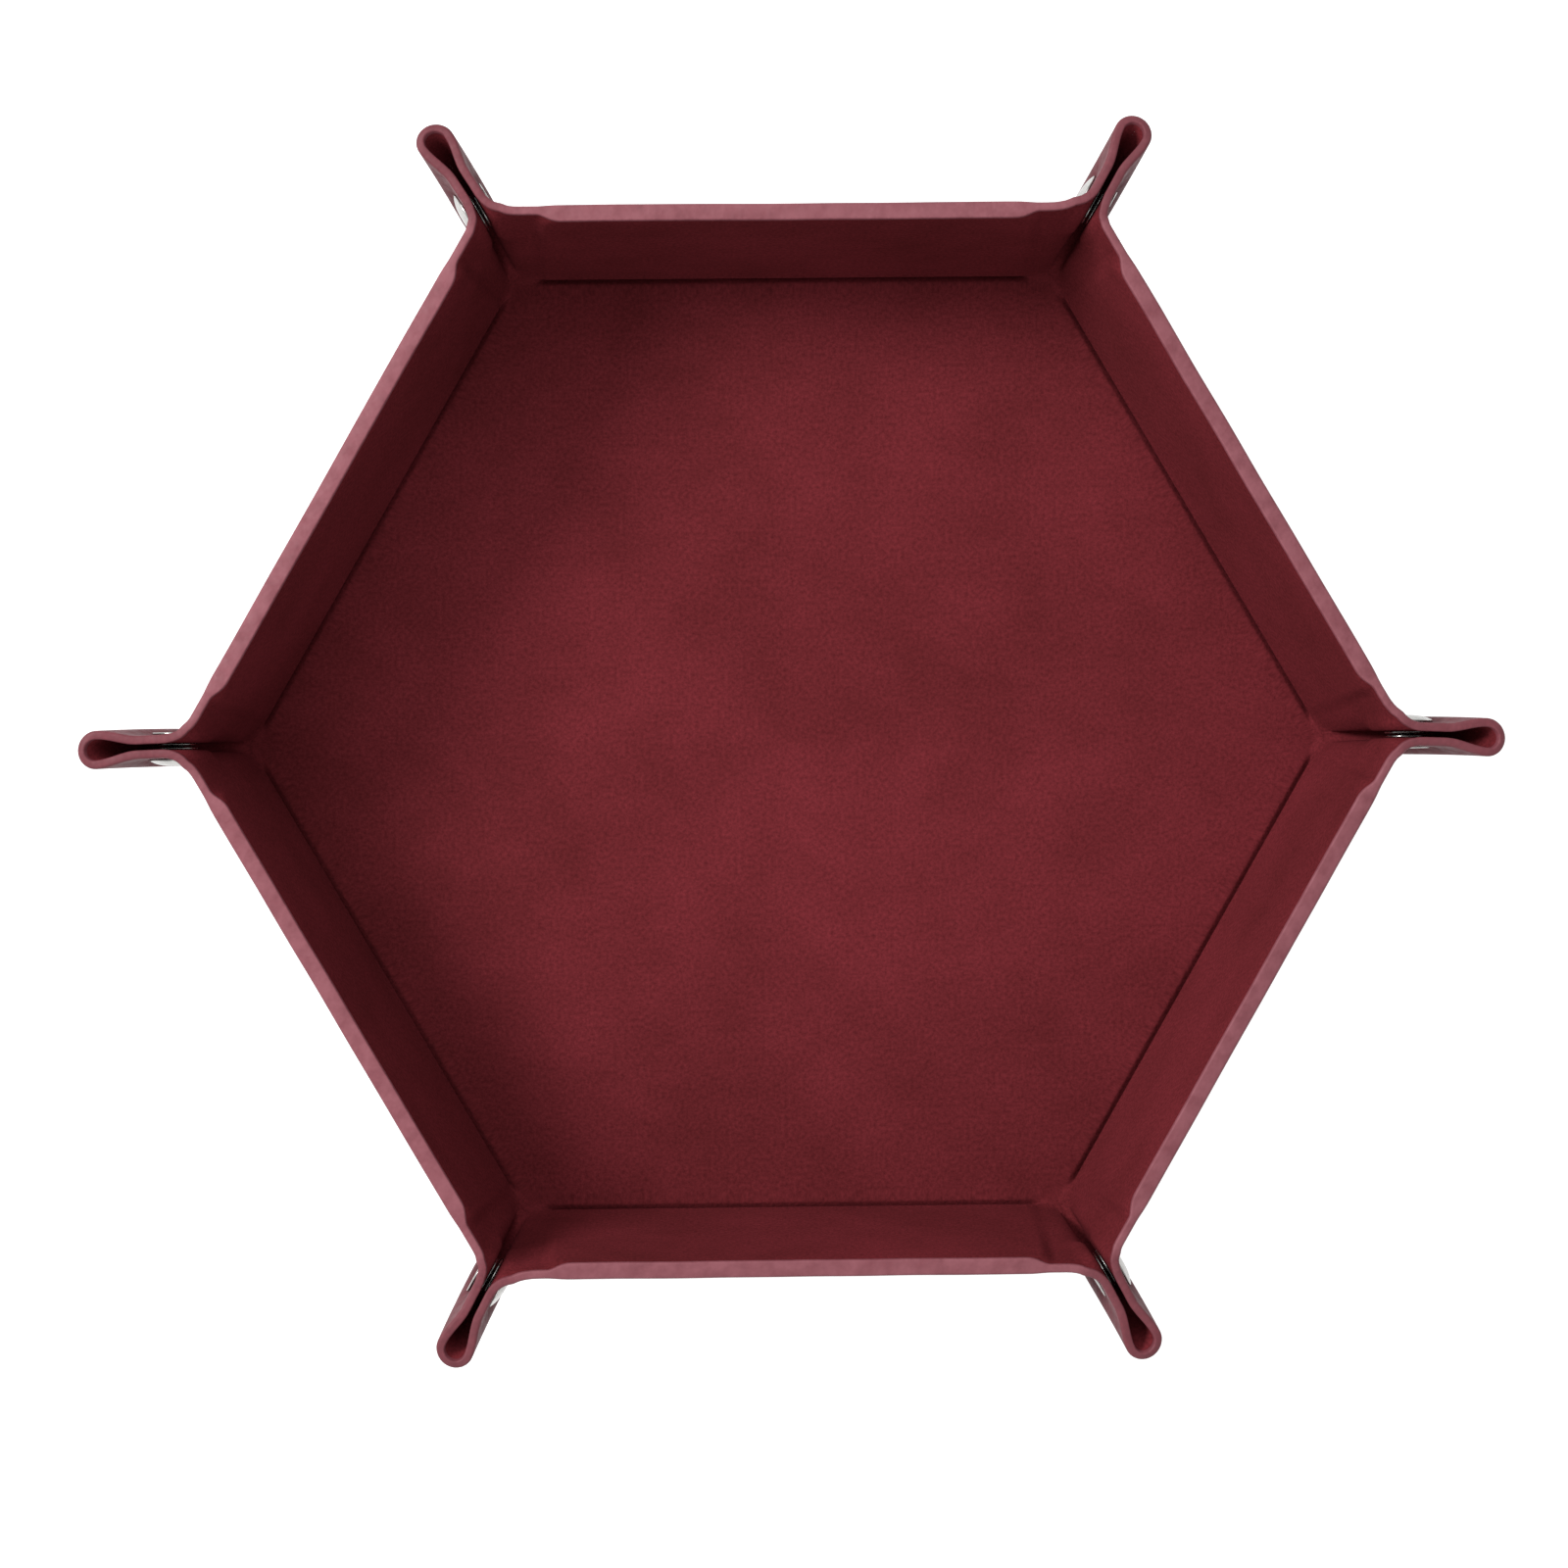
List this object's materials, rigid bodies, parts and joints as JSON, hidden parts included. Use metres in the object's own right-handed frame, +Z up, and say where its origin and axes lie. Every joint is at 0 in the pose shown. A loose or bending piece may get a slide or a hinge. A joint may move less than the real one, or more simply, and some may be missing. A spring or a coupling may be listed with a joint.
{
  "type": "folding dice tray",
  "caption": "Hexagonal folding dice tray: soft lining over a stiff floor and walls, with corner gussets pinched into ears by press studs so that it opens flat.",
  "frame": {"origin": "centre of the underside, on the surface that the tray stands on, with all ears snapped shut", "axes": "+Z up; +X from the centre towards one corner and its ear; +Y towards the middle of one wall"},
  "size_m": [0.2608, 0.2266, 0.0476],
  "materials": {
    "leather": "fine-grained burgundy leatherette, satin",
    "ear_sheet": "burgundy leatherette outside and soft napped lining inside, pressed together",
    "lining": "burgundy velvet with a short mottled nap, matt",
    "board": "grey-brown pressed board, hidden inside",
    "snap_metal": "nickel-plated, polished"
  },
  "bodies": {
    "floor": {"floor_leather": "leather", "floor_board": "board", "floor_lining": "lining"},
    "wall_1": {"wall_1_leather": "leather", "wall_1_board": "board", "wall_1_lining": "lining"},
    "ear_1_socket": {"ear_1_socket_half": "ear_sheet", "snap_1_cap": "snap_metal", "snap_1_socket": "snap_metal"},
    "ear_2_stud": {"ear_2_stud_half": "ear_sheet", "snap_2_stud": "snap_metal", "snap_2_eyelet": "snap_metal"},
    "wall_2": {"wall_2_leather": "leather", "wall_2_board": "board", "wall_2_lining": "lining"},
    "ear_2_socket": {"ear_2_socket_half": "ear_sheet", "snap_2_cap": "snap_metal", "snap_2_socket": "snap_metal"},
    "ear_3_stud": {"ear_3_stud_half": "ear_sheet", "snap_3_stud": "snap_metal", "snap_3_eyelet": "snap_metal"},
    "wall_3": {"wall_3_leather": "leather", "wall_3_board": "board", "wall_3_lining": "lining"},
    "ear_3_socket": {"ear_3_socket_half": "ear_sheet", "snap_3_cap": "snap_metal", "snap_3_socket": "snap_metal"},
    "ear_4_stud": {"ear_4_stud_half": "ear_sheet", "snap_4_stud": "snap_metal", "snap_4_eyelet": "snap_metal"},
    "wall_4": {"wall_4_leather": "leather", "wall_4_board": "board", "wall_4_lining": "lining"},
    "ear_4_socket": {"ear_4_socket_half": "ear_sheet", "snap_4_cap": "snap_metal", "snap_4_socket": "snap_metal"},
    "ear_5_stud": {"ear_5_stud_half": "ear_sheet", "snap_5_stud": "snap_metal", "snap_5_eyelet": "snap_metal"},
    "wall_5": {"wall_5_leather": "leather", "wall_5_board": "board", "wall_5_lining": "lining"},
    "ear_5_socket": {"ear_5_socket_half": "ear_sheet", "snap_5_cap": "snap_metal", "snap_5_socket": "snap_metal"},
    "ear_6_stud": {"ear_6_stud_half": "ear_sheet", "snap_6_stud": "snap_metal", "snap_6_eyelet": "snap_metal"},
    "wall_6": {"wall_6_leather": "leather", "wall_6_board": "board", "wall_6_lining": "lining"},
    "ear_6_socket": {"ear_6_socket_half": "ear_sheet", "snap_6_cap": "snap_metal", "snap_6_socket": "snap_metal"},
    "ear_1_stud": {"ear_1_stud_half": "ear_sheet", "snap_1_stud": "snap_metal", "snap_1_eyelet": "snap_metal"}
  },
  "joints": [
    {"name": "wall_1_fold", "type": "hinge", "parent": "floor", "child": "wall_1", "pos_m": [0.07578, 0.04375, 0.0036], "axis": [-0.5, 0.866, 0], "range_deg": [0, 81]},
    {"name": "ear_1_socket_fold", "type": "hinge", "parent": "wall_1", "child": "ear_1_socket", "pos_m": [0.10516, 0.00065, 0.02819], "axis": [-0.1799, 0, -0.9837], "range_deg": [0, 60.41]},
    {"name": "ear_2_stud_fold", "type": "hinge", "parent": "wall_1", "child": "ear_2_stud", "pos_m": [0.05314, 0.09075, 0.02819], "axis": [0.09, 0.1558, 0.9837], "range_deg": [0, 60.41]},
    {"name": "wall_2_fold", "type": "hinge", "parent": "floor", "child": "wall_2", "pos_m": [0, 0.0875, 0.0036], "axis": [-1, 0, 0], "range_deg": [0, 81]},
    {"name": "ear_2_socket_fold", "type": "hinge", "parent": "wall_2", "child": "ear_2_socket", "pos_m": [0.05202, 0.0914, 0.02819], "axis": [-0.09, -0.1558, -0.9837], "range_deg": [0, 60.41]},
    {"name": "ear_3_stud_fold", "type": "hinge", "parent": "wall_2", "child": "ear_3_stud", "pos_m": [-0.05202, 0.0914, 0.02819], "axis": [-0.09, 0.1558, 0.9837], "range_deg": [0, 60.41]},
    {"name": "wall_3_fold", "type": "hinge", "parent": "floor", "child": "wall_3", "pos_m": [-0.07578, 0.04375, 0.0036], "axis": [-0.5, -0.866, 0], "range_deg": [0, 81]},
    {"name": "ear_3_socket_fold", "type": "hinge", "parent": "wall_3", "child": "ear_3_socket", "pos_m": [-0.05314, 0.09075, 0.02819], "axis": [0.09, -0.1558, -0.9837], "range_deg": [0, 60.41]},
    {"name": "ear_4_stud_fold", "type": "hinge", "parent": "wall_3", "child": "ear_4_stud", "pos_m": [-0.10516, 0.00065, 0.02819], "axis": [-0.1799, 0, 0.9837], "range_deg": [0, 60.41]},
    {"name": "wall_4_fold", "type": "hinge", "parent": "floor", "child": "wall_4", "pos_m": [-0.07578, -0.04375, 0.0036], "axis": [0.5, -0.866, 0], "range_deg": [0, 81]},
    {"name": "ear_4_socket_fold", "type": "hinge", "parent": "wall_4", "child": "ear_4_socket", "pos_m": [-0.10516, -0.00065, 0.02819], "axis": [0.1799, 0, -0.9837], "range_deg": [0, 60.41]},
    {"name": "ear_5_stud_fold", "type": "hinge", "parent": "wall_4", "child": "ear_5_stud", "pos_m": [-0.05314, -0.09075, 0.02819], "axis": [-0.09, -0.1558, 0.9837], "range_deg": [0, 60.41]},
    {"name": "wall_5_fold", "type": "hinge", "parent": "floor", "child": "wall_5", "pos_m": [0, -0.0875, 0.0036], "axis": [1, 0, 0], "range_deg": [0, 81]},
    {"name": "ear_5_socket_fold", "type": "hinge", "parent": "wall_5", "child": "ear_5_socket", "pos_m": [-0.05202, -0.0914, 0.02819], "axis": [0.09, 0.1558, -0.9837], "range_deg": [0, 60.41]},
    {"name": "ear_6_stud_fold", "type": "hinge", "parent": "wall_5", "child": "ear_6_stud", "pos_m": [0.05202, -0.0914, 0.02819], "axis": [0.09, -0.1558, 0.9837], "range_deg": [0, 60.41]},
    {"name": "wall_6_fold", "type": "hinge", "parent": "floor", "child": "wall_6", "pos_m": [0.07578, -0.04375, 0.0036], "axis": [0.5, 0.866, 0], "range_deg": [0, 81]},
    {"name": "ear_6_socket_fold", "type": "hinge", "parent": "wall_6", "child": "ear_6_socket", "pos_m": [0.05314, -0.09075, 0.02819], "axis": [-0.09, 0.1558, -0.9837], "range_deg": [0, 60.41]},
    {"name": "ear_1_stud_fold", "type": "hinge", "parent": "wall_6", "child": "ear_1_stud", "pos_m": [0.10516, -0.00065, 0.02819], "axis": [0.1799, 0, 0.9837], "range_deg": [0, 60.41]}
  ],
  "couplings": [
    {"joint": "ear_1_socket_fold", "follows": "wall_1_fold", "ratio": 0.74576},
    {"joint": "ear_2_stud_fold", "follows": "wall_1_fold", "ratio": 0.74576},
    {"joint": "wall_2_fold", "follows": "wall_1_fold", "ratio": 1},
    {"joint": "ear_2_socket_fold", "follows": "wall_1_fold", "ratio": 0.74576},
    {"joint": "ear_3_stud_fold", "follows": "wall_1_fold", "ratio": 0.74576},
    {"joint": "wall_3_fold", "follows": "wall_1_fold", "ratio": 1},
    {"joint": "ear_3_socket_fold", "follows": "wall_1_fold", "ratio": 0.74576},
    {"joint": "ear_4_stud_fold", "follows": "wall_1_fold", "ratio": 0.74576},
    {"joint": "wall_4_fold", "follows": "wall_1_fold", "ratio": 1},
    {"joint": "ear_4_socket_fold", "follows": "wall_1_fold", "ratio": 0.74576},
    {"joint": "ear_5_stud_fold", "follows": "wall_1_fold", "ratio": 0.74576},
    {"joint": "wall_5_fold", "follows": "wall_1_fold", "ratio": 1},
    {"joint": "ear_5_socket_fold", "follows": "wall_1_fold", "ratio": 0.74576},
    {"joint": "ear_6_stud_fold", "follows": "wall_1_fold", "ratio": 0.74576},
    {"joint": "wall_6_fold", "follows": "wall_1_fold", "ratio": 1},
    {"joint": "ear_6_socket_fold", "follows": "wall_1_fold", "ratio": 0.74576},
    {"joint": "ear_1_stud_fold", "follows": "wall_1_fold", "ratio": 0.74576}
  ]
}
